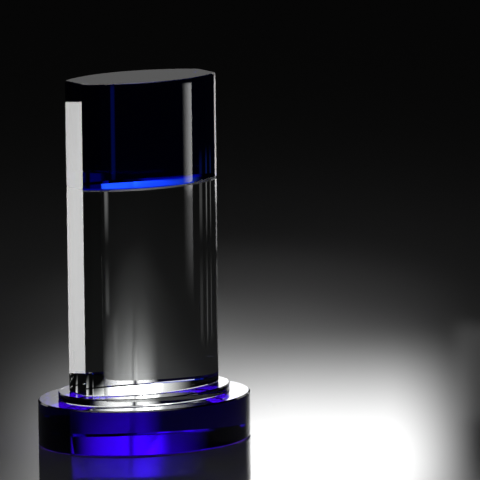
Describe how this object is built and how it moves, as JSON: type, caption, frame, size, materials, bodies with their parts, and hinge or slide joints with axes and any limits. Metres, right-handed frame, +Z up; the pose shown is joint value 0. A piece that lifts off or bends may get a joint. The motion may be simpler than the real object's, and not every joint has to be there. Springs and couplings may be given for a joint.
{
  "type": "column trophy",
  "caption": "Free-standing crystal award: blue oval plinth, thin clear oval step and a tall clear column of lens-shaped section with a blue cap block.",
  "frame": {"origin": "centre of the plinth's underside, on the surface the trophy stands on", "axes": "+Z up the column, +X along the long axis of the ovals, -Y out of the front bowed face"},
  "size_m": [0.186, 0.146, 0.305],
  "materials": {
    "blue_crystal": "cobalt-blue optical crystal, polished on every face",
    "clear_crystal": "water-clear optical crystal, polished on every face",
    "uv_adhesive": "clear cured adhesive with the crystal's own refractive index"
  },
  "bodies": {
    "root": {"base_plinth": "blue_crystal", "step_plate": "clear_crystal", "column_body": "clear_crystal", "column_cap": "blue_crystal", "plinth_bond": "uv_adhesive", "step_bond": "uv_adhesive", "cap_bond": "uv_adhesive"}
  },
  "joints": []
}
